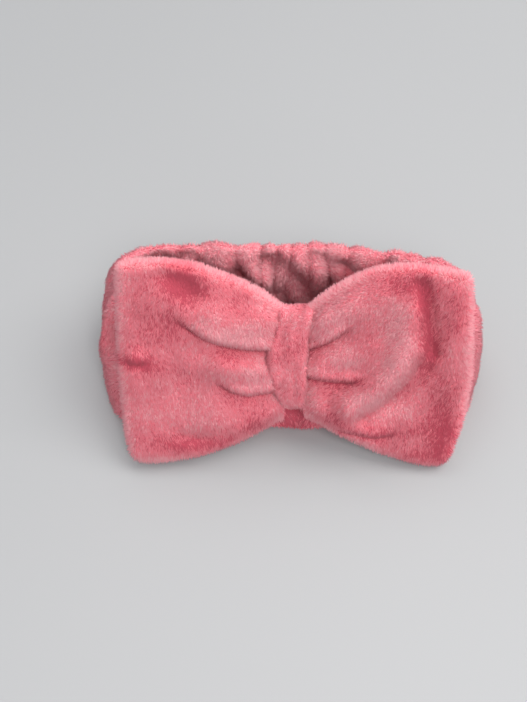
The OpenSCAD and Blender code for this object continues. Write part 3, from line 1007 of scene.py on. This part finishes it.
def loopPoint(run, f, out, lift):  # f is the share of the band's height, out the distance outside the path
    x, y, outX, outY = loopAt(run)
    back = np.clip((y - pathFrontY) / (pathBackY - pathFrontY), 0, 1)
    slope = 1 - smooth(back)
    foot = band["arch"] * np.cos(math.pi / 2 * np.clip(x / band["archX"], -1, 1)) ** 2 * (outY < -0.99)
    fromBack = backRun(run)
    top = frontTop * slope + along(band["height"], fromBack) * (1 - slope)
    z = band["stand"] + foot + (top - band["stand"] - foot - 1.0) * f + lift * f
    sides = np.sin(math.pi * back)
    flare = band["flare"] * smooth((f - band["flareFoot"]) / (1 - band["flareFoot"]))
    flare = flare * smooth((back - band["flareBack"]) / (1 - band["flareBack"]))
    out = out + (band["bulge"] * np.sin(math.pi * f) - band["tuck"] * f * f) * sides + flare
    return mm * np.stack([x + out * outX, y + out * outY + z * slopeRun * slope, z], -1)


def gatherWave(run):  # 1 on a rib's crest and 0 in the sharp valley between two
    place = run / band["gatherPitch"] + 0.42 * np.sin(run / 15.0) + 0.20 * np.sin(run / 6.3 + 2)
    return np.abs(np.sin(math.pi * place)) ** 0.75


def makeBandLayer(name, start, stop, layer, steps, ground):  # layer is 1 outside and -1 inside
    run = np.linspace(start, stop, steps)[:, None]
    f = (crowded(band["rows"], band["crowd"]) + 1) / 2
    section = np.clip(1 - np.abs(2 * f - 1) ** 7.0, 0, 1) ** 0.5
    turn = run * math.pi / loopLength
    radius = loopLength / math.pi
    plan = np.stack([radius * np.cos(turn) + 0 * f, radius * np.sin(turn) + 0 * f,
                     band["tall"] * f + 0 * run], -1)  # noise read here meets itself all round
    lumps = 0.9 * ripple(plan, 26, 51 if layer > 0 else 52) + 1.3 * ripple(plan * (1, 1, 0.45), 38, 53)
    toBack = np.minimum(np.abs(run), np.abs(2 * loopLength - run))
    reach = smooth((toBack - (casingRun - band["gatherStart"])) / band["gatherStart"])  # 1 on the casing
    room = 0.04 + (0.2 + 0.6 * reach) * smooth(section)
    fromBack = backRun(run)
    bend = 4.2 * (f - 0.5) * np.sin(fromBack / 9.0) + 1.2 * np.sin(5 * f + fromBack / 6.0)
    wave = gatherWave(fromBack + bend) * reach
    puff = band["puff"][layer] * ripple(plan * (1, 1, 0.85), 16, 58 if layer > 0 else 59) * reach
    depth = band["gatherDepth"] * (0.85 + 0.55 * ripple(plan, 34, 57))
    height = room + 0.5 + (band["thick"] - 0.5 + lumps + depth * wave + puff - 2.4 * reach) * section
    height = np.maximum(height, room + 0.5)
    loose = smooth((toBack - band["swayStart"]) / band["swayFade"]) * (1 - reach)
    length = plan * (1, 1, 0)
    sway = 1.6 * ripple(length, 50, 60) * loose
    lift = 1.5 * (wave - 0.6 * reach) + 1.2 * ripple(length, 31, 61)
    outer = loopPoint(run, f, layer * height + sway, lift)
    inner = loopPoint(run, f, layer * np.maximum(height - band["cloth"], room) + sway, lift)
    angle = math.radians(-90) + band["curl"][layer] * ripple(plan, 24, 71 + layer)
    x, y, outX, outY = loopAt(run + 0 * f)
    ways = np.cos(angle)[..., None] * np.stack([-outY, outX, 0 * outX], -1)
    ways = ways + np.sin(angle)[..., None] * upright
    grounded = (1 - smooth(f / band["combUp"]))[..., None] + 0 * ways
    ways = ways * (1 - grounded) + upright * grounded
    cover = (f > band["bareFoot"]) + 0.0 * run
    # random tone; the lining is painted paler, as painted light for the dim inside of the loop
    nap = 0.5 * ripple(plan, 30, 91 + layer) + (0.3 if layer < 0 else 0.0)
    # on the casing: painted highlight on the gathers' crests and towards the top, painted shade in their
    # valleys and lower down
    nap = nap + reach * (0.8 * (wave - 0.6) + 1.0 * (f - 0.3))
    if layer > 0:
        # painted shade on the band below the knot
        nap = nap - band["underKnotPaintedShade"] * bell(run, band["underKnotShadeReach"])
    return clothShell(name, outer, inner, cover, ways, nap, ground)


stretch = {"start": Vector((0, -0.014, 0)), "end": Vector((0, 0.030, 0))}  # where the side cloth gives


def makeBand():
    layers = ("outer", 1, plushGround, "coral_plush"), ("lining", -1, liningGroundPaintedLight, "lining_plush")
    for word, layer, ground, slot in layers:
        strip = makeBandLayer(f"band_{word}_cloth", -casingRun, casingRun, layer, band["stripSteps"], ground)
        hair = growPile(f"band_{word}_pile", strip, Seed=50 + layer, **band["stripPile"])
        casing = makeBandLayer(f"casing_{word}_cloth", casingRun, 2 * loopLength - casingRun, layer,
                               band["casingSteps"], ground)
        ruff = growPile(f"casing_{word}_pile", casing, Seed=60 + layer, **band["casingPile"])
        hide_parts(f"left_side_{word}_panel", f"right_side_{word}_panel", f"front_{word}_panel")
        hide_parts(f"back_{word}_panel")
        for piece in (strip, hair):
            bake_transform(piece, "front_band", "back_band", **stretch)
        for piece in (casing, ruff):
            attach(piece, "back_band")
    run = np.linspace(-66, 66, 90)
    for name, share in (("top", 0.93), ("bottom", 0.07)):
        line = loopPoint(run, np.full(90, share), np.zeros(90), np.zeros(90))
        row = makeStitches(f"band_{name}_seam_thread", [line], slopeUp * (1 if name == "top" else -1))
        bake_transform(row, "front_band", "back_band", **stretch)
        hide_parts(f"band_{name}_seam_stitches")


# half its thickness, the shares of the band's height that it spans, how short of the casing's ends
# it stops, and the pitch of its anchor rows
elastic = {"half": 0.55, "foot": 0.19, "top": 0.79, "short": 4.0, "ease": 3.0}


# what the casing holds: the elastic and the rows of stitches, all on its middle surface
def makeCasingInside():
    def onMiddle(run, f, out=0.0):
        run, f = np.broadcast_arrays(run, f)
        return loopPoint(run, f, 0 * f + out, 0 * f)

    first, last = casingRun, 2 * loopLength - casingRun
    run = np.linspace(first + elastic["short"], last - elastic["short"], 110)[:, None]
    f = np.linspace(elastic["foot"], elastic["top"], 14)[None]
    bare = np.zeros((run.size, f.size))  # no pile and no shading
    outer, inner = onMiddle(run, f, elastic["half"]), onMiddle(run, f, -elastic["half"])
    uncombed = np.zeros((*bare.shape, 3))
    strip = clothShell("elastic_strip_knit", outer, inner, bare, uncombed, bare, knitElastic)
    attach(strip, "back_band")
    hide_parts("elastic_strip")
    level = np.linspace(first + 2, last - 2, 120)
    rows = [("casing_seam", [onMiddle(level, 0.06), onMiddle(level, 0.94)], upright)]
    high = np.linspace(0.10, 0.90, 30)
    held = np.linspace(elastic["foot"] + 0.03, elastic["top"] - 0.03, 24)
    for side, end, step in (("right", first, 1), ("left", last, -1)):
        rows.append((f"{side}_join_seam", [onMiddle(end + 1.6 * step, high)], np.array((0, 1.0, 0))))
        runs = [end + step * (elastic["short"] + elastic["ease"] * k) for k in (1, 2)]
        anchors = [onMiddle(at, held, -0.7) for at in runs]
        rows.append((f"{side}_elastic_anchor", anchors, np.array((0, -1.0, 0))))
    for name, lines, away in rows:
        row = makeStitches(name + "_thread", lines, away)
        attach(row, "back_band")
        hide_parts(name + "_stitches")


makeBand()
makeCasingInside()
print("stage: band")

# sewn parts that stay as they are

for node, piece in frame["nodes"].items():
    if piece.hide_render:
        continue
    material = knitElastic if node == "elastic_strip" else seamThread
    for slot in piece.material_slots:
        slot.material = material

# floor


table = {"half": 3.0, "roughness": 0.7, "cloud": 1.5,
         "dark": (0.372, 0.372, 0.374), "light": (0.394, 0.394, 0.396)}


def makeFloor():
    material, graph, shader = newMaterial("paleTable")
    place = graph.node("ShaderNodeTexCoord").outputs["Object"]
    cloud = graph.node("ShaderNodeTexNoise", {}, {"Vector": place, "Scale": table["cloud"], "Detail": 2.0})
    stops = [(0.3, (*table["dark"], 1)), (0.7, (*table["light"], 1))]
    tone = graph.node("ShaderNodeValToRGB", {"stops": stops}, {"Fac": graph.wire(cloud, "Fac")})
    graph.feed(shader.inputs["Base Color"], pick(tone, "Color"))
    shader.inputs["Roughness"].default_value = table["roughness"]
    half = table["half"]
    corners = [(-half, -half, 0), (half, -half, 0), (half, half, 0), (-half, half, 0)]
    newPiece("table", corners, [(0, 1, 2, 3)], material)


makeFloor()
print("stage: done")
